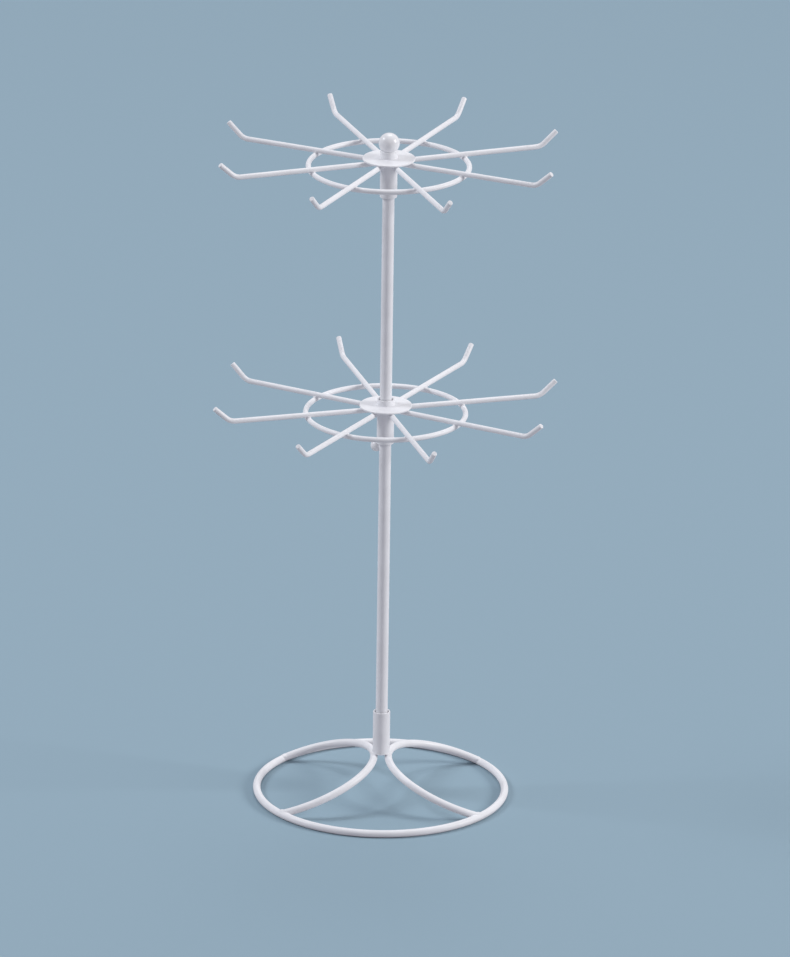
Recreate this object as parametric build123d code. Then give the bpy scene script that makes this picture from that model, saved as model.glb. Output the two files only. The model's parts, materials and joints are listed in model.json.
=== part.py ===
from build123d import *
import math
import os

# A revolving jewellery stand of bent and welded steel wire under white powder coat.
# A ring base with two arches carries a socket, a post stands in the socket,
# and two tiers of hooks turn freely on the post.
# Millimetres, +Z up, origin on the table under the post. The front looks along -Y.

# Stock: round wire, and tube for the post, the socket and the sleeves
HOOK_WIRE = 3.5
TIER_RING_WIRE = 3.5
BASE_WIRE = 5.0
POST_DIAMETER = 8.0
POST_WALL = 1.2
TUBE_DIAMETER = 11.5
TUBE_BORE = 9.5

# Base
BASE_RING_DIAMETER = 167.0      # centreline of the wire
FOOT_FLAT = 0.1                 # depth of the bearing flat under the ring
ARCH_SPREAD = 37.4              # degrees from the X axis to each end of an arch
ARCH_APEX_HEIGHT = 25.3         # centreline of the wire under the socket
ARCH_END_RISE = 0.2             # an arch's end stands this far above the ring's centreline
POST_SEAT = 1.7                 # how far each arch reaches in under the post's rim
SOCKET_LENGTH = 30.0

# Tiers
UPPER_TIER_HEIGHT = 447.0       # centreline of the hooks
LOWER_TIER_HEIGHT = 273.9
UPPER_TIER_TURN = 20.0          # degrees from the X axis to the tier's first hook
LOWER_TIER_TURN = 16.0          # degrees from the X axis to the tier's first hook
HOOK_COUNT = 8
HOOK_REACH = 107.0              # from the post's axis to the elbow
HOOK_TIP_LENGTH = 14.8          # from the elbow to the cut end
HOOK_TIP_ANGLE = 42.0           # degrees above the straight run
HOOK_BEND_RADIUS = 9.5          # centreline of the wire
TIER_RING_DIAMETER = 106.5      # centreline of the wire
WELD_SET_DOWN = 0.5             # how far the spot welds press each hook onto the brace ring
DISC_DIAMETER = 35.0
DISC_THICKNESS = 1.2
SLEEVE_LENGTH = 31.0
SLEEVE_COLLAR = 6.8             # from the hooks' centreline up to the sleeve's top

# Ball finial that closes the upper sleeve
FINIAL_BALL = 14.0
FINIAL_SHOULDER = 1.2           # height of the shoulder that sits on the sleeve's rim
FINIAL_LEDGE = 0.95             # width of the shoulder that shows around the ball
FINIAL_SPIGOT = 8.0             # depth of the spigot inside the sleeve
FINIAL_NECK_FILLET = 0.15

# Ball-headed stop screw that carries the lower tier
SCREW_BALL = 8.0
SCREW_SHANK = 4.0
SCREW_STANDOFF = 3.6            # from the post's surface to the ball's centre
SCREW_TURN = 140.0              # degrees from the X axis, seen from above

# Fits and edges
WELD_FIT = 0.05                 # slip clearance of pieces that are then welded
THREAD_FIT = 0.05
THRUST_GAP = 0.05               # between the post's top and the spigot that turns on it
REST_GAP = 0.2                  # between the lower sleeve's rim and the stop screw
TUBE_EDGE = 0.3
DISC_EDGE = 0.3
WIRE_EDGE = 0.6

# Places that follow from the sizes above
post_radius = POST_DIAMETER / 2
tube_radius = TUBE_DIAMETER / 2
hook_radius = HOOK_WIRE / 2
ring_drop = hook_radius + TIER_RING_WIRE / 2 - WELD_SET_DOWN
base_ring_height = BASE_WIRE / 2 - FOOT_FLAT
arch_apex_offset = post_radius - POST_SEAT + BASE_WIRE / 2
socket_bottom = ARCH_APEX_HEIGHT + BASE_WIRE / 2
post_bottom = ARCH_APEX_HEIGHT + math.sqrt((BASE_WIRE / 2) ** 2 - (BASE_WIRE / 2 - POST_SEAT) ** 2)
upper_sleeve_top = UPPER_TIER_HEIGHT + SLEEVE_COLLAR
lower_sleeve_bottom = LOWER_TIER_HEIGHT + SLEEVE_COLLAR - SLEEVE_LENGTH
finial_neck_radius = tube_radius - FINIAL_LEDGE
shoulder_top = upper_sleeve_top + FINIAL_SHOULDER
finial_ball_height = shoulder_top + math.sqrt((FINIAL_BALL / 2) ** 2 - finial_neck_radius ** 2)
spigot_bottom = upper_sleeve_top - FINIAL_SPIGOT
post_top = spigot_bottom - THRUST_GAP
screw_ball_radius = SCREW_BALL / 2
screw_ball_offset = post_radius + SCREW_STANDOFF
screw_overhang = max(0.0, screw_ball_offset - tube_radius)
screw_rise = math.sqrt(screw_ball_radius ** 2 - screw_overhang ** 2)
screw_height = lower_sleeve_bottom - REST_GAP - screw_rise


def rounded_tube(outer, bore, length, edge):
    """A tube standing on the XY plane, with its rims rounded."""
    wall = (outer - bore) / 2
    with BuildPart() as tube:
        with BuildSketch():
            Circle(outer / 2)
            Circle(bore / 2, mode=Mode.SUBTRACT)
        extrude(amount=length)
        fillet(tube.edges().filter_by(GeomType.CIRCLE), min(edge, wall / 3))
    return tube.part


def wire_sweep(path, wire):
    """Round wire of the given diameter along a path."""
    section = Plane(origin=path @ 0, z_dir=path % 0) * Circle(wire / 2)
    return sweep(section, path=path)


def base_ring():
    """The floor ring, with a narrow flat where it bears on the table."""
    ring = Pos(0, 0, base_ring_height) * Torus(BASE_RING_DIAMETER / 2, BASE_WIRE / 2)
    return split(ring, bisect_by=Plane.XY, keep=Keep.TOP)


def base_arch(side):
    """One arch, bent in a sloping plane: its top passes under the socket, its ends are coped on the ring."""
    end_x = side * BASE_RING_DIAMETER / 2 * math.cos(math.radians(ARCH_SPREAD))
    end_y = BASE_RING_DIAMETER / 2 * math.sin(math.radians(ARCH_SPREAD))
    end_z = base_ring_height + ARCH_END_RISE
    path = ThreePointArc(
        (end_x, -end_y, end_z),
        (side * arch_apex_offset, 0, ARCH_APEX_HEIGHT),
        (end_x, end_y, end_z),
    )
    return wire_sweep(path, BASE_WIRE) - base_ring()


def base_socket():
    """The tube that takes the post, standing on the tops of the arches."""
    return Pos(0, 0, socket_bottom) * rounded_tube(TUBE_DIAMETER, TUBE_BORE, SOCKET_LENGTH, TUBE_EDGE)


def post():
    """The upright tube, drilled on one side for the stop screw."""
    tube = rounded_tube(POST_DIAMETER, POST_DIAMETER - 2 * POST_WALL, post_top - post_bottom, TUBE_EDGE)
    hole = Cylinder(
        SCREW_SHANK / 2 + THREAD_FIT,
        POST_DIAMETER,
        align=(Align.CENTER, Align.CENTER, Align.MIN),
    )
    return Pos(0, 0, post_bottom) * tube - screw_place(0) * hole


def screw_place(distance):
    """A plane on the stop screw's axis, this far out from the post's axis, facing outwards."""
    turn = math.radians(SCREW_TURN)
    outward = Vector(math.cos(turn), math.sin(turn), 0)
    return Location(Plane(origin=outward * distance + Vector(0, 0, screw_height), z_dir=outward))


def stop_screw():
    """Ball-headed screw whose shank crosses the post's near wall and stops short of the far one."""
    tip = post_radius - POST_WALL - THREAD_FIT - SCREW_SHANK / 4
    shank = Cylinder(
        SCREW_SHANK / 2,
        tip + screw_ball_offset,
        align=(Align.CENTER, Align.CENTER, Align.MIN),
    )
    shank = chamfer(shank.edges().sort_by(Axis.Z)[0], SCREW_SHANK / 8)
    return screw_place(-tip) * shank + screw_place(screw_ball_offset) * Sphere(screw_ball_radius)


def ledge_corners(outline):
    """The four corners on top of the finial's shoulder, from left to right."""
    return outline.vertices().group_by(Axis.Y)[2].sort_by(Axis.X)


def ball_finial():
    """Turned ball: its shoulder sits on the upper sleeve, its spigot closes the bore and turns on the post."""
    from_below = (Align.CENTER, Align.MIN)
    spigot_width = TUBE_BORE - 2 * WELD_FIT
    outline = Pos(0, finial_ball_height) * Circle(FINIAL_BALL / 2)
    outline += Pos(0, upper_sleeve_top) * Rectangle(TUBE_DIAMETER, FINIAL_SHOULDER, align=from_below)
    outline += Pos(0, spigot_bottom) * Rectangle(spigot_width, FINIAL_SPIGOT, align=from_below)
    neck_angle = math.asin(finial_neck_radius / (FINIAL_BALL / 2))
    neck = min(FINIAL_NECK_FILLET, FINIAL_LEDGE / 2 * math.tan(neck_angle / 2))
    outline = fillet(ledge_corners(outline)[1:3], neck)
    rim = min(TUBE_EDGE, FINIAL_LEDGE / 3, FINIAL_SHOULDER / 3)
    outline = fillet(ledge_corners(outline)[0::3], rim)
    right_half = Pos(0, spigot_bottom) * Rectangle(
        FINIAL_BALL + TUBE_DIAMETER,
        FINIAL_BALL + finial_ball_height - spigot_bottom,
        align=(Align.MIN, Align.MIN),
    )
    return revolve(Plane.XZ * (outline & right_half), Axis.Z)


def tier_sleeve(height):
    """The tube at the heart of a tier, that slips over the post."""
    bottom = height + SLEEVE_COLLAR - SLEEVE_LENGTH
    return Pos(0, 0, bottom) * rounded_tube(TUBE_DIAMETER, TUBE_BORE, SLEEVE_LENGTH, TUBE_EDGE)


def tier_disc(height):
    """The washer that covers the hooks' inner ends."""
    bore = TUBE_DIAMETER + 2 * WELD_FIT
    edge = min(DISC_EDGE, DISC_THICKNESS / 4)
    return Pos(0, 0, height + hook_radius) * rounded_tube(DISC_DIAMETER, bore, DISC_THICKNESS, edge)


def tier_ring(height):
    """The brace ring under the hooks."""
    return Pos(0, 0, height - ring_drop) * Torus(TIER_RING_DIAMETER / 2, TIER_RING_WIRE / 2)


def tier_hook(height, turn):
    """One hook: a straight run from the sleeve, set down on the brace ring, and a tip bent upwards."""
    tip_angle = math.radians(HOOK_TIP_ANGLE)
    path = FilletPolyline(
        (tube_radius, 0, 0),
        (HOOK_REACH, 0, 0),
        (HOOK_REACH + HOOK_TIP_LENGTH * math.cos(tip_angle), 0, HOOK_TIP_LENGTH * math.sin(tip_angle)),
        radius=HOOK_BEND_RADIUS,
    )
    hook = wire_sweep(path, HOOK_WIRE)
    tip_edge = hook.edges().filter_by(GeomType.CIRCLE).sort_by(Axis.Z)[-1]
    hook = fillet(tip_edge, min(WIRE_EDGE, HOOK_WIRE / 4)) - tier_ring(0)
    return Pos(0, 0, height) * Rot(0, 0, turn) * hook


def tier(name, height, turn):
    """All the pieces of one tier, by node name."""
    pieces = {
        f"{name}_sleeve": tier_sleeve(height),
        f"{name}_disc": tier_disc(height),
        f"{name}_ring": tier_ring(height),
    }
    for index in range(HOOK_COUNT):
        pieces[f"{name}_hook_{index + 1}"] = tier_hook(height, turn + index * 360 / HOOK_COUNT)
    return pieces


nodes = {
    "base_ring": base_ring(),
    "base_arch_left": base_arch(-1),
    "base_arch_right": base_arch(1),
    "base_socket": base_socket(),
    "post": post(),
    "stop_screw": stop_screw(),
    "ball_finial": ball_finial(),
}
nodes.update(tier("upper", UPPER_TIER_HEIGHT, UPPER_TIER_TURN))
nodes.update(tier("lower", LOWER_TIER_HEIGHT, LOWER_TIER_TURN))

os.makedirs("parts", exist_ok=True)
for node, piece in nodes.items():
    export_step(piece, f"parts/{node}.step")
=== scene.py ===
"""Looks of a revolving jewellery stand: coats, weld fillets, studio and camera around its fixed frame."""

from __future__ import annotations

import json
import logging
import math
from dataclasses import dataclass, field
from enum import Enum
from typing import Union

import bpy
from mathutils import Matrix, Vector

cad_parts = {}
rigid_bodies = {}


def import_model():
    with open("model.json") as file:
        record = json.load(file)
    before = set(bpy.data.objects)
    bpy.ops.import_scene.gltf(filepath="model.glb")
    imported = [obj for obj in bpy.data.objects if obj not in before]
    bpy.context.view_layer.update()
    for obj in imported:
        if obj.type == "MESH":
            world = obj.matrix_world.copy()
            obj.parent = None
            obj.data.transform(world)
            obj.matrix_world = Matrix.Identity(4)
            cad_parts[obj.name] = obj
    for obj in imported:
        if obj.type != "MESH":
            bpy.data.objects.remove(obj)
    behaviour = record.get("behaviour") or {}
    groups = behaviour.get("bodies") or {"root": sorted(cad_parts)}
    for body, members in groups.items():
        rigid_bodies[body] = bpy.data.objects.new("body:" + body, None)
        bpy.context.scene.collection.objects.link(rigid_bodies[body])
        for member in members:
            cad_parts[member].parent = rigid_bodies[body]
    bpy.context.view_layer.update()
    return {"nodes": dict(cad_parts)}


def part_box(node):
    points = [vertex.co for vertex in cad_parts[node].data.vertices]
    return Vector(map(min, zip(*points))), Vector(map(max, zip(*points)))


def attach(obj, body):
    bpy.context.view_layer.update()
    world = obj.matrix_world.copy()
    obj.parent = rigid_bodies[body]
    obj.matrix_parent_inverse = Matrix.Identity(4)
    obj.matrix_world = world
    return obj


LOG = logging.getLogger("jewellery_stand")
MM = 0.001

# Sockets of a Mix node that mixes colours
MIX_SHARE = 0
MIX_FIRST = 6
MIX_SECOND = 7
MIX_RESULT = 2

Socket = bpy.types.NodeSocket
Feed = Union[Socket, float, tuple[float, ...]]


class Slot(Enum):
    """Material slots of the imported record."""

    WIRE = "wire_coat"
    KNOB = "knob_coat"


class Body(Enum):
    """Rigid bodies of the stand."""

    BASE = "base"
    UPPER = "upper_tier"
    LOWER = "lower_tier"


class Rub(Enum):
    """Places where use polishes a coat thin."""

    NONE = "none"
    HOOK_RUN = "hook_run"
    FOOT = "foot"
    TURNING_BAND = "turning_band"
    BALL_TOP = "ball_top"


class NodeDesk:
    """A shader tree with short calls to add and join its nodes."""

    def __init__(self, material: bpy.types.Material) -> None:
        """Empties the material's tree.

        Args:
            material: the material whose nodes are rebuilt.
        """
        material.use_nodes = True
        self.tree = material.node_tree
        self.tree.nodes.clear()

    def add(self, kind: str, **settings: object) -> bpy.types.Node:
        """Adds one node.

        Args:
            kind: the node's type name, without its ShaderNode prefix.
            settings: properties of the node.

        Returns:
            The new node.
        """
        node = self.tree.nodes.new("ShaderNode" + kind)
        for name, value in settings.items():
            setattr(node, name, value)
        return node

    def feed(self, target: Socket, source: Feed) -> None:
        """Links a socket to another socket, or sets it to a plain value.

        Args:
            target: the socket that is fed.
            source: the other socket or the value.
        """
        if isinstance(source, Socket):
            self.tree.links.new(source, target)
        else:
            target.default_value = source

    def math(self, operation: str, *values: Feed) -> Socket:
        """Adds a Math node.

        Args:
            operation: Blender's name of the operation.
            values: sockets or numbers for its inputs.

        Returns:
            The node's result.
        """
        node = self.add("Math", operation=operation)
        for target, value in zip(node.inputs, values):
            self.feed(target, value)
        return node.outputs[0]

    def ramp(self, value: Feed, low: float, high: float, start: float = 0.0, end: float = 1.0) -> Socket:
        """Maps a value smoothly from one range to another.

        Args:
            value: the socket that is mapped.
            low: the value that gives start.
            high: the value that gives end.
            start: the result at low and below.
            end: the result at high and above.

        Returns:
            The mapped socket.
        """
        node = self.add("MapRange", interpolation_type="SMOOTHSTEP")
        for target, source in zip(node.inputs, (value, low, high, start, end)):
            self.feed(target, source)
        return node.outputs[0]

    def noise(self, place: Socket, size: float, detail: float) -> Socket:
        """Adds a noise pattern.

        Args:
            place: the coordinates' socket.
            size: the pattern's grain, in metres.
            detail: the number of finer octaves.

        Returns:
            The noise, from 0 to 1.
        """
        node = self.add("TexNoise")
        self.feed(node.inputs["Vector"], place)
        self.feed(node.inputs["Scale"], 1.0 / size)
        self.feed(node.inputs["Detail"], detail)
        return node.outputs[0]

    def blend(self, share: Feed, first: Feed, second: Feed) -> Socket:
        """Mixes two colours.

        Args:
            share: how much of the second colour shows.
            first: a colour or its socket.
            second: a colour or its socket.

        Returns:
            The mixed colour.
        """
        node = self.add("Mix", data_type="RGBA")
        for index, source in ((MIX_SHARE, share), (MIX_FIRST, first), (MIX_SECOND, second)):
            self.feed(node.inputs[index], source)
        return node.outputs[MIX_RESULT]


@dataclass(frozen=True)
class PowderCoat:
    """White powder coat: faint mottling, orange peel, and a polished, thin place where it is rubbed."""

    name: str
    colour: tuple[float, float, float]
    thin_colour: tuple[float, float, float]
    roughness: float
    rub: Rub = Rub.NONE
    rub_heights: tuple[float, ...] = ()
    mottle_size: float = 14 * MM
    mottle_detail: float = 4.0
    mottle_depth: float = 0.045
    mottle_range: tuple[float, float] = (0.35, 0.65)
    gloss_range: tuple[float, float] = (0.3, 0.7)
    gloss_loss: float = 0.05
    gloss_gain: float = 0.03
    peel_size: float = 0.9 * MM
    peel_detail: float = 1.0
    peel_height: float = 0.03 * MM
    peel_strength: float = 0.6
    grain_size: float = 0.22 * MM
    grain_share: float = 0.3
    rub_depth: float = 0.75
    rub_polish: float = 0.08
    upward_range: tuple[float, float] = (0.25, 0.95)
    hook_run_range: tuple[float, float] = (84 * MM, 106 * MM)
    foot_range: tuple[float, float] = (0.1 * MM, 1.1 * MM)
    band_range: tuple[float, float] = (0.3 * MM, 1.6 * MM)
    speck_size: float = 1.3 * MM
    speck_detail: float = 3.0
    speck_range: tuple[float, float] = (0.42, 0.68)

    def material(self) -> bpy.types.Material:
        """Builds the finish as a node material.

        Returns:
            The new material.
        """
        material = bpy.data.materials.new(self.name)
        desk = NodeDesk(material)
        place = desk.add("TexCoord").outputs["Object"]
        mottle = desk.noise(place, self.mottle_size, self.mottle_detail)
        worn = self.rubbed(desk, place)
        shader = desk.add("BsdfPrincipled")
        dull = tuple(channel * (1.0 - self.mottle_depth) for channel in self.colour)
        coat = desk.blend(desk.ramp(mottle, *self.mottle_range), (*dull, 1.0), (*self.colour, 1.0))
        desk.feed(shader.inputs["Base Color"], desk.blend(worn, coat, (*self.thin_colour, 1.0)))
        dullest = self.roughness + self.gloss_loss
        glossiest = self.roughness - self.gloss_gain
        gloss = desk.ramp(mottle, *self.gloss_range, dullest, glossiest)
        desk.feed(shader.inputs["Roughness"], desk.math("MULTIPLY_ADD", worn, -self.rub_polish, gloss))
        desk.feed(shader.inputs["Normal"], self.peel(desk, place))
        output = desk.add("OutputMaterial")
        desk.feed(output.inputs["Surface"], shader.outputs[0])
        return material

    def peel(self, desk: NodeDesk, place: Socket) -> Socket:
        """Makes the orange peel of the coat.

        Args:
            desk: the shader tree.
            place: the coordinates' socket.

        Returns:
            The bumped normal.
        """
        waves = desk.noise(place, self.peel_size, self.peel_detail)
        grain = desk.noise(place, self.grain_size, self.peel_detail)
        bump = desk.add("Bump")
        desk.feed(bump.inputs["Strength"], self.peel_strength)
        desk.feed(bump.inputs["Distance"], self.peel_height)
        desk.feed(bump.inputs["Height"], desk.math("MULTIPLY_ADD", grain, self.grain_share, waves))
        return bump.outputs[0]

    def rubbed(self, desk: NodeDesk, place: Socket) -> Feed:
        """Makes the mask of the rubbed place, broken up by fine noise.

        Args:
            desk: the shader tree.
            place: the coordinates' socket.

        Returns:
            The mask, from 0 to 1, or a plain 0.
        """
        if self.rub is Rub.NONE:
            return 0.0
        split = desk.add("SeparateXYZ")
        desk.feed(split.inputs[0], place)
        facing = desk.add("SeparateXYZ")
        desk.feed(facing.inputs[0], desk.add("NewGeometry").outputs["Normal"])
        upward = desk.ramp(facing.outputs[2], *self.upward_range)
        height = split.outputs[2]
        if self.rub is Rub.HOOK_RUN:
            flat = desk.math("MULTIPLY", split.outputs[0], split.outputs[0])
            radius = desk.math("SQRT", desk.math("MULTIPLY_ADD", split.outputs[1], split.outputs[1], flat))
            mask = desk.math("MULTIPLY", upward, desk.ramp(radius, *self.hook_run_range))
        elif self.rub is Rub.FOOT:
            mask = desk.ramp(height, *self.foot_range, 1.0, 0.0)
        elif self.rub is Rub.TURNING_BAND:
            mask = 0.0
            for band in self.rub_heights:
                away = desk.math("ABSOLUTE", desk.math("SUBTRACT", height, band))
                mask = desk.math("MAXIMUM", mask, desk.ramp(away, *self.band_range, 1.0, 0.0))
        else:
            mask = upward
        specks = desk.ramp(desk.noise(place, self.speck_size, self.speck_detail), *self.speck_range)
        return desk.math("MULTIPLY", desk.math("MULTIPLY", mask, specks), self.rub_depth)


@dataclass(frozen=True)
class WeldGrade:
    """How finely a weld is fused: its voxel size, and the passes that smooth its corners."""

    grain: float
    passes: int


@dataclass
class WeldShop:
    """Models weld fillets from copies of the pieces that meet there."""

    merge_gap: float = 0.001 * MM
    ball_segments: int = 32
    ball_rings: int = 16
    drum_sides: int = 64
    smooth_factor: float = 0.5
    ripple_size: float = 1.6 * MM
    ripple_height: float = 0.14 * MM
    ripple_level: float = 0.62

    @staticmethod
    def pick(piece: bpy.types.Object) -> None:
        """Selects one object alone and makes it active.

        Args:
            piece: the object that is selected.
        """
        bpy.ops.object.select_all(action="DESELECT")
        piece.select_set(True)
        bpy.context.view_layer.objects.active = piece

    @staticmethod
    def apply(piece: bpy.types.Object, kind: str, **settings: object) -> None:
        """Adds a modifier to a piece and applies it.

        Args:
            piece: the object that is changed.
            kind: the modifier's type.
            settings: the modifier's properties.
        """
        modifier = piece.modifiers.new(kind.lower(), kind)
        for name, value in settings.items():
            setattr(modifier, name, value)
        WeldShop.pick(piece)
        bpy.ops.object.modifier_apply(modifier=modifier.name)

    @staticmethod
    def join(pieces: list[bpy.types.Object], name: str) -> bpy.types.Object:
        """Joins objects into the first of them.

        Args:
            pieces: the objects, all at the origin.
            name: the name of the result.

        Returns:
            The joined object.
        """
        WeldShop.pick(pieces[0])
        for piece in pieces[1:]:
            piece.select_set(True)
        if len(pieces) > 1:
            bpy.ops.object.join()
        pieces[0].name = name
        return pieces[0]

    @staticmethod
    def copy_of(piece: bpy.types.Object, turn: Matrix) -> bpy.types.Object:
        """Copies a piece with its own mesh.

        Args:
            piece: the object that is copied.
            turn: the move that is applied to the copy's mesh.

        Returns:
            The copy, at the origin.
        """
        mesh = piece.data.copy()
        mesh.transform(turn)
        copy = bpy.data.objects.new(piece.name, mesh)
        bpy.context.scene.collection.objects.link(copy)
        return copy

    def stub(self, node: bpy.types.Object, zone: bpy.types.Object) -> bpy.types.Object:
        """Cuts a merged copy of a frame node to the weld's zone.

        Args:
            node: the frame node.
            zone: the closed shape that bounds the weld.

        Returns:
            The cut copy.
        """
        copy = self.copy_of(node, Matrix.Identity(4))
        copy.data.materials.clear()
        self.pick(copy)
        bpy.ops.object.mode_set(mode="EDIT")
        bpy.ops.mesh.select_all(action="SELECT")
        bpy.ops.mesh.remove_doubles(threshold=self.merge_gap)
        bpy.ops.object.mode_set(mode="OBJECT")
        self.apply(copy, "BOOLEAN", operation="INTERSECT", solver="EXACT", object=zone)
        return copy

    def ball(self, centre: Vector, reach: tuple[float, float, float], turn: float = 0.0) -> bpy.types.Object:
        """Adds a ball stretched to three half sizes.

        Args:
            centre: its middle.
            reach: its half sizes along its own X, Y and Z.
            turn: its turn about +Z, in radians.

        Returns:
            The ball.
        """
        bpy.ops.object.select_all(action="DESELECT")
        bpy.ops.mesh.primitive_uv_sphere_add(
            segments=self.ball_segments, ring_count=self.ball_rings, radius=1.0
        )
        ball = bpy.context.object
        bpy.ops.object.mode_set(mode="EDIT")
        bpy.ops.transform.resize(value=reach)
        bpy.ops.object.mode_set(mode="OBJECT")
        ball.data.transform(Matrix.Translation(centre) @ Matrix.Rotation(turn, 4, "Z"))
        return ball

    def drum(self, low: float, high: float, radius: float) -> bpy.types.Object:
        """Adds an upright drum about the post's axis.

        Args:
            low: the height of its bottom.
            high: the height of its top.
            radius: its radius.

        Returns:
            The drum.
        """
        bpy.ops.object.select_all(action="DESELECT")
        bpy.ops.mesh.primitive_cylinder_add(vertices=self.drum_sides, radius=radius, depth=high - low)
        drum = bpy.context.object
        drum.data.transform(Matrix.Translation((0.0, 0.0, (low + high) / 2)))
        return drum

    def weld(
        self,
        name: str,
        nodes: list[bpy.types.Object],
        zone: bpy.types.Object,
        beads: list[bpy.types.Object],
        grade: WeldGrade,
    ) -> bpy.types.Object:
        """Fuses the stubs of the pieces that meet, and lets the metal flow into their corners.

        Args:
            name: the weld's name.
            nodes: the frame nodes that meet.
            zone: the closed shape that bounds the weld, used up here.
            beads: lumps of filler metal, used up here.
            grade: how finely the weld is fused.

        Returns:
            The weld, whose surface shows only in the corners between the pieces.
        """
        stubs = [self.stub(node, zone) for node in nodes]
        bpy.data.objects.remove(zone)
        weld = self.join([*stubs, *beads], name)
        self.apply(weld, "REMESH", mode="VOXEL", voxel_size=grade.grain)
        self.apply(weld, "SMOOTH", factor=self.smooth_factor, iterations=grade.passes)
        ripple = bpy.data.textures.new(name + "_ripple", "CLOUDS")
        ripple.noise_scale = self.ripple_size
        self.apply(
            weld,
            "DISPLACE",
            texture=ripple,
            texture_coords="LOCAL",
            strength=self.ripple_height,
            mid_level=self.ripple_level,
        )
        self.pick(weld)
        bpy.ops.object.shade_smooth()
        return weld


@dataclass
class Finishes:
    """The coats of the stand, each made once."""

    made: dict[str, bpy.types.Material] = field(default_factory=dict)

    def of(self, coat: PowderCoat) -> bpy.types.Material:
        """Gives a coat's material, building it the first time.

        Args:
            coat: the coat.

        Returns:
            Its material.
        """
        if coat.name not in self.made:
            self.made[coat.name] = coat.material()
        return self.made[coat.name]

    def put(self, piece: bpy.types.Object, coat: PowderCoat) -> None:
        """Makes a coat the only material of a piece.

        Args:
            piece: the object that is coated.
            coat: its coat.
        """
        material = self.of(coat)
        if not piece.material_slots:
            piece.data.materials.append(material)
        for entry in piece.material_slots:
            entry.material = material


WHITE = (0.855, 0.86, 0.895)
THIN_WHITE = (0.66, 0.665, 0.7)
KNOB_WHITE = (0.865, 0.87, 0.9)
WELD_WHITE = (0.84, 0.845, 0.88)
WIRE_ROUGHNESS = 0.42
KNOB_ROUGHNESS = 0.17
SCREW_ROUGHNESS = 0.2
WELD_ROUGHNESS = 0.45
KNOB_PEEL = 0.012 * MM
WELD_PEEL_SIZE = 0.7 * MM
WIRE_COAT = PowderCoat("white_wire_coat", WHITE, THIN_WHITE, WIRE_ROUGHNESS)
HOOK_COAT = PowderCoat("white_hook_coat", WHITE, THIN_WHITE, WIRE_ROUGHNESS, Rub.HOOK_RUN)
FOOT_COAT = PowderCoat("white_foot_coat", WHITE, THIN_WHITE, WIRE_ROUGHNESS, Rub.FOOT)
KNOB_COAT = PowderCoat("white_knob_coat", KNOB_WHITE, THIN_WHITE, KNOB_ROUGHNESS, peel_height=KNOB_PEEL)
SCREW_COAT = PowderCoat(
    "white_screw_coat", KNOB_WHITE, THIN_WHITE, SCREW_ROUGHNESS, Rub.BALL_TOP, peel_height=KNOB_PEEL
)
WELD_COAT = PowderCoat("white_weld_coat", WELD_WHITE, THIN_WHITE, WELD_ROUGHNESS, peel_size=WELD_PEEL_SIZE)


@dataclass
class WeldedAssembly:
    """Pieces of one rigid body that are welded together."""

    body: Body
    nodes: dict[str, bpy.types.Object]
    shop: WeldShop
    finishes: Finishes

    def finish_weld(self, weld: bpy.types.Object) -> bpy.types.Object:
        """Coats a weld and fixes it to the body.

        Args:
            weld: the modelled weld.

        Returns:
            The same weld.
        """
        self.finishes.put(weld, WELD_COAT)
        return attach(weld, self.body.value)


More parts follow.
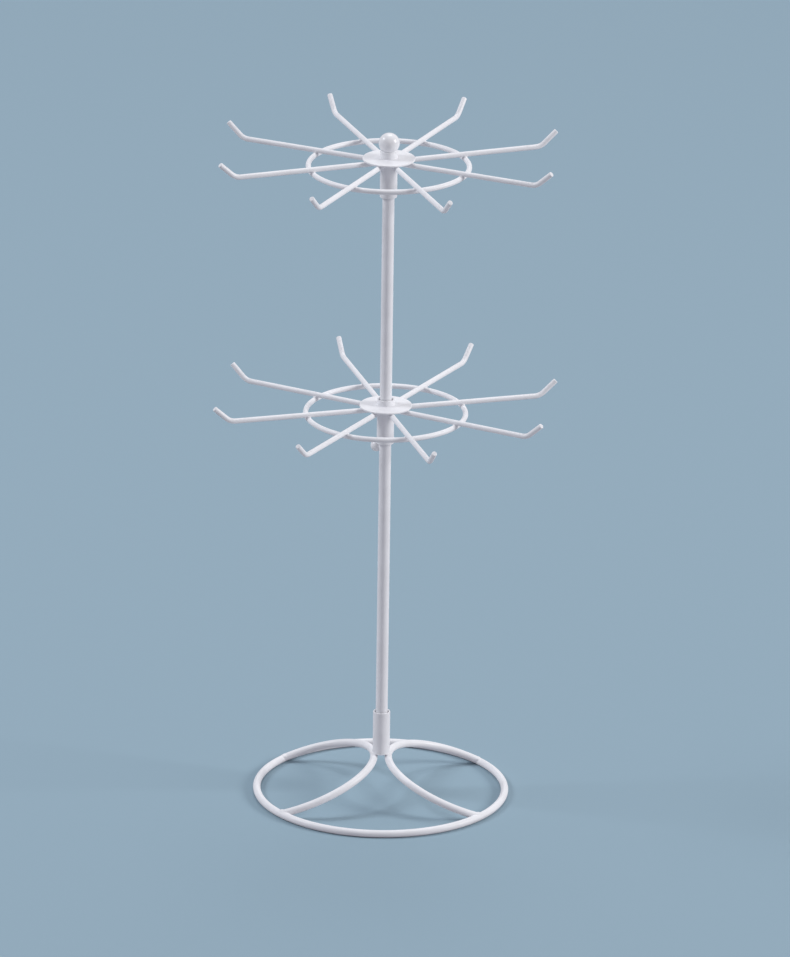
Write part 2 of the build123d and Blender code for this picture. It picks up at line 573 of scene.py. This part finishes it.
@dataclass
class Base(WeldedAssembly):
    """The floor ring, its arches, the socket, the post and the stop screw."""

    end_zone: float = 9 * MM
    end_inset: float = 4.2 * MM
    floor_gap: float = 0.6 * MM
    end_bead: tuple[float, float, float] = (2.3 * MM, 3.3 * MM, 1.6 * MM)
    end_bead_inset: float = 0.9 * MM
    end_bead_drop: float = 0.8 * MM
    end_grade: WeldGrade = WeldGrade(0.26 * MM, 16)
    top_zone: float = 14 * MM
    top_zone_below: float = 7 * MM
    top_zone_above: float = 6 * MM
    top_bead: tuple[float, float, float] = (1.5 * MM, 3.2 * MM, 1.1 * MM)
    top_bead_drop: float = 0.2 * MM
    top_grade: WeldGrade = WeldGrade(0.3 * MM, 22)

    def dress(self) -> None:
        """Gives each frame node of the base its coat."""
        sleeve_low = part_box("lower_sleeve")[0].z
        cap_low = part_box("upper_sleeve")[0].z
        post_coat = PowderCoat(
            "white_post_coat", WHITE, THIN_WHITE, WIRE_ROUGHNESS, Rub.TURNING_BAND, (sleeve_low, cap_low)
        )
        coats = {
            "base_ring": FOOT_COAT,
            "base_arch_left": WIRE_COAT,
            "base_arch_right": WIRE_COAT,
            "base_socket": WIRE_COAT,
            "post": post_coat,
            "stop_screw": SCREW_COAT,
        }
        for name, coat in coats.items():
            self.finishes.put(self.nodes[name], coat)

    def build(self) -> list[bpy.types.Object]:
        """Models the welds of the base.

        Returns:
            The new pieces.
        """
        return [self.arch_end_welds(), self.arch_top_weld()]

    def arch_end_welds(self) -> bpy.types.Object:
        """Models the welds where the arches' ends meet the ring.

        Returns:
            All four welds as one piece.
        """
        low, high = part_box("base_arch_left")
        ring_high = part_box("base_ring")[1]
        wire = ring_high.z / 2
        ring_radius = ring_high.x - wire
        turned = Matrix.Rotation(math.pi, 4, "Z")
        welds = []
        for label, y in (("front", low.y), ("back", high.y)):
            turn = math.atan2(y - math.copysign(self.end_inset, y), low.x + wire)
            place = Vector((ring_radius * math.cos(turn), ring_radius * math.sin(turn), ring_high.z))
            zone = self.shop.ball(place, (self.end_zone, self.end_zone, ring_high.z - self.floor_gap))
            inward = Vector((-math.cos(turn), -math.sin(turn), 0.0)) * self.end_bead_inset
            bead_place = place + inward - Vector((0.0, 0.0, self.end_bead_drop))
            bead = self.shop.ball(bead_place, self.end_bead, turn)
            meeting = [self.nodes["base_arch_left"], self.nodes["base_ring"]]
            weld = self.shop.weld("arch_end_" + label, meeting, zone, [bead], self.end_grade)
            welds += [weld, self.shop.copy_of(weld, turned)]
        return self.finish_weld(self.shop.join(welds, "arch_end_welds"))

    def arch_top_weld(self) -> bpy.types.Object:
        """Models the weld between the socket's rim and the arches' tops.

        Returns:
            The weld.
        """
        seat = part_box("base_socket")[0].z
        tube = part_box("base_socket")[1].x
        zone = self.shop.drum(seat - self.top_zone_below, seat + self.top_zone_above, self.top_zone)
        beads = [
            self.shop.ball(Vector((side * tube, 0.0, seat - self.top_bead_drop)), self.top_bead)
            for side in (-1.0, 1.0)
        ]
        meeting = [self.nodes[name] for name in ("base_socket", "base_arch_left", "base_arch_right")]
        return self.finish_weld(self.shop.weld("arch_top_weld", meeting, zone, beads, self.top_grade))


@dataclass
class Tier(WeldedAssembly):
    """One tier: a sleeve with its disc, the hooks and the brace ring."""

    name: str
    closed_by: str = ""
    hook_count: int = 8
    crossing_zone: float = 5.2 * MM
    crossing_bead: tuple[float, float, float] = (2.0 * MM, 2.0 * MM, 0.8 * MM)
    crossing_grade: WeldGrade = WeldGrade(0.2 * MM, 14)
    hub_radius: float = 13 * MM
    hub_below: float = 4.5 * MM
    hub_above: float = 5.5 * MM
    hub_grade: WeldGrade = WeldGrade(0.22 * MM, 8)
    cap_radius: float = 8 * MM
    cap_below: float = 1.6 * MM
    cap_above: float = 0.8 * MM
    cap_grade: WeldGrade = WeldGrade(0.15 * MM, 10)

    def node(self, piece: str) -> bpy.types.Object:
        """Gives the frame node of one of the tier's pieces."""
        return self.nodes[f"{self.name}_{piece}"]

    def hooks(self) -> list[bpy.types.Object]:
        """Gives the frame nodes of all the hooks."""
        return [self.node(f"hook_{index + 1}") for index in range(self.hook_count)]

    def dress(self) -> None:
        """Gives each frame node of the tier its coat."""
        for piece in ("sleeve", "disc", "ring"):
            self.finishes.put(self.node(piece), WIRE_COAT)
        for hook in self.hooks():
            self.finishes.put(hook, HOOK_COAT)
        if self.closed_by:
            self.finishes.put(self.nodes[self.closed_by], KNOB_COAT)

    def first_turn(self) -> float:
        """Works out the first hook's angle from the X axis, in radians."""
        tip = max(self.node("hook_1").data.vertices, key=lambda vertex: vertex.co.z).co
        return math.atan2(tip.y, tip.x)

    def hook_height(self) -> float:
        """Works out the height of the hooks' centreline."""
        return (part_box(f"{self.name}_hook_1")[0].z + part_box(f"{self.name}_disc")[0].z) / 2

    def build(self) -> list[bpy.types.Object]:
        """Models the welds of the tier.

        Returns:
            The new pieces.
        """
        pieces = [self.ring_welds(), self.hub_weld()]
        if self.closed_by:
            pieces.append(self.cap_weld())
        return pieces

    def ring_welds(self) -> bpy.types.Object:
        """Models one crossing of hook and ring, and copies it round the tier.

        Returns:
            All the crossings as one piece.
        """
        ring_low, ring_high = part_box(f"{self.name}_ring")
        wire = (ring_high.z - ring_low.z) / 2
        radius = ring_high.x - wire
        turn = self.first_turn()
        centre = Vector((radius * math.cos(turn), radius * math.sin(turn), ring_high.z))
        zone = self.shop.ball(centre, (self.crossing_zone,) * 3)
        bead = self.shop.ball(centre, self.crossing_bead, turn)
        meeting = [self.node("hook_1"), self.node("ring")]
        first = self.shop.weld(f"{self.name}_crossing", meeting, zone, [bead], self.crossing_grade)
        copies = [
            self.shop.copy_of(first, Matrix.Rotation(index * math.tau / self.hook_count, 4, "Z"))
            for index in range(1, self.hook_count)
        ]
        return self.finish_weld(self.shop.join([first, *copies], f"{self.name}_ring_welds"))

    def hub_weld(self) -> bpy.types.Object:
        """Models the weld of the hooks' inner ends, the disc and the sleeve.

        Returns:
            The weld.
        """
        height = self.hook_height()
        zone = self.shop.drum(height - self.hub_below, height + self.hub_above, self.hub_radius)
        meeting = [self.node("sleeve"), self.node("disc"), *self.hooks()]
        return self.finish_weld(self.shop.weld(f"{self.name}_hub_weld", meeting, zone, [], self.hub_grade))

    def cap_weld(self) -> bpy.types.Object:
        """Models the seam between the finial's shoulder and the sleeve's rim.

        Returns:
            The weld.
        """
        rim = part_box(f"{self.name}_sleeve")[1].z
        zone = self.shop.drum(rim - self.cap_below, rim + self.cap_above, self.cap_radius)
        meeting = [self.node("sleeve"), self.nodes[self.closed_by]]
        return self.finish_weld(self.shop.weld(f"{self.name}_cap_weld", meeting, zone, [], self.cap_grade))


@dataclass(frozen=True)
class Softbox:
    """A square studio lamp that faces the stand."""

    name: str
    place: tuple[float, float, float]
    size: float
    watts: float
    colour: tuple[float, float, float] = (1.0, 1.0, 1.0)

    def build(self, aim: Vector) -> bpy.types.Object:
        """Hangs the lamp.

        Args:
            aim: the point that it faces.

        Returns:
            The lamp.
        """
        light = bpy.data.lights.new(self.name, "AREA")
        light.size = self.size
        light.energy = self.watts
        light.color = self.colour
        lamp = bpy.data.objects.new(self.name, light)
        bpy.context.scene.collection.objects.link(lamp)
        lamp.location = self.place
        lamp.rotation_euler = (aim - Vector(self.place)).to_track_quat("-Z", "Y").to_euler()
        return lamp


@dataclass
class Studio:
    """The pale floor, the soft lamps and the air around them."""

    floor_span: float = 40.0
    floor_colour: tuple[float, float, float] = (0.28, 0.385, 0.46)
    bounce_colour: tuple[float, float, float] = (0.42, 0.42, 0.45)
    air_colour: tuple[float, float, float] = (0.92, 0.92, 1.0)
    air_strength: float = 0.38
    aim: tuple[float, float, float] = (0.0, 0.0, 0.24)
    lamps: tuple[Softbox, ...] = (
        Softbox("key_softbox", (5.3, -0.8, 2.8), 1.9, 210.0, (1.0, 0.99, 0.97)),
        Softbox("rim_softbox", (-4.3, 0.3, 3.9), 1.8, 140.0, (0.95, 0.97, 1.0)),
        Softbox("top_softbox", (0.3, 2.7, 5.6), 2.8, 85.0),
    )

    def build(self) -> None:
        """Lays the floor, hangs the lamps and sets the air."""
        bpy.ops.object.select_all(action="DESELECT")
        bpy.ops.mesh.primitive_plane_add(size=self.floor_span)
        floor = bpy.context.object
        floor.name = "studio_floor"
        floor.data.materials.append(self.floor_finish())
        for lamp in self.lamps:
            lamp.build(Vector(self.aim))
        world = bpy.data.worlds.new("studio_air")
        world.use_nodes = True
        air = world.node_tree.nodes["Background"]
        air.inputs["Color"].default_value = (*self.air_colour, 1.0)
        air.inputs["Strength"].default_value = self.air_strength
        bpy.context.scene.world = world
        bpy.context.scene.view_settings.view_transform = "Standard"

    def floor_finish(self) -> bpy.types.Material:
        """Builds the floor's plain matt finish, which throws neutral light back at the stand.

        Returns:
            The new material.
        """
        material = bpy.data.materials.new("pale_floor")
        desk = NodeDesk(material)
        ray = desk.add("LightPath").outputs
        mirrored = desk.math("ADD", ray["Is Glossy Ray"], ray["Is Transmission Ray"])
        seen = desk.math("MINIMUM", desk.math("ADD", ray["Is Camera Ray"], mirrored), 1.0)
        shader = desk.add("BsdfPrincipled")
        colour = desk.blend(seen, (*self.bounce_colour, 1.0), (*self.floor_colour, 1.0))
        desk.feed(shader.inputs["Base Color"], colour)
        desk.feed(shader.inputs["Roughness"], 1.0)
        desk.feed(shader.inputs["Specular IOR Level"], 0.0)
        output = desk.add("OutputMaterial")
        desk.feed(output.inputs["Surface"], shader.outputs[0])
        return material


@dataclass
class PhotoCamera:
    """The photograph's view: far away, through a long lens, from a little above."""

    distance: float = 7.5
    elevation: float = math.radians(20.19)
    roll: float = math.radians(0.78)
    aim: tuple[float, float, float] = (6.84 * MM, 0.0, 224.36 * MM)
    pixels_per_metre: float = 1498.8
    frame_height: float = 957.0
    sensor: float = 36.0

    def build(self) -> bpy.types.Object:
        """Places the camera and makes it the scene's own.

        Returns:
            The camera.
        """
        data = bpy.data.cameras.new("photo_camera")
        data.sensor_width = self.sensor
        data.lens = self.pixels_per_metre * self.distance * self.sensor / self.frame_height
        camera = bpy.data.objects.new("photo_camera", data)
        bpy.context.scene.collection.objects.link(camera)
        back = Vector((0.0, -math.cos(self.elevation), math.sin(self.elevation)))
        camera.location = Vector(self.aim) + back * self.distance
        look = (-back).to_track_quat("-Z", "Y").to_matrix().to_4x4()
        camera.rotation_euler = (look @ Matrix.Rotation(self.roll, 4, "Z")).to_euler()
        bpy.context.scene.camera = camera
        return camera


def clear_scene() -> None:
    """Removes what a new Blender file holds."""
    bpy.ops.object.select_all(action="SELECT")
    bpy.ops.object.delete()


def main() -> None:
    """Builds the stand's looks around the frame and reports each piece."""
    logging.basicConfig(level=logging.INFO, format="%(message)s")
    clear_scene()
    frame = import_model()
    nodes = frame["nodes"]
    shop, finishes = WeldShop(), Finishes()
    assemblies = [
        Base(Body.BASE, nodes, shop, finishes),
        Tier(Body.UPPER, nodes, shop, finishes, "upper", closed_by="ball_finial"),
        Tier(Body.LOWER, nodes, shop, finishes, "lower"),
    ]
    for assembly in assemblies:
        for piece in assembly.build():
            LOG.info("modelled %s with %d faces", piece.name, len(piece.data.polygons))
        assembly.dress()
    for name in sorted(nodes):
        LOG.info("dressed %s", name)
    Studio().build()
    PhotoCamera().build()


if __name__ == "__main__":
    main()
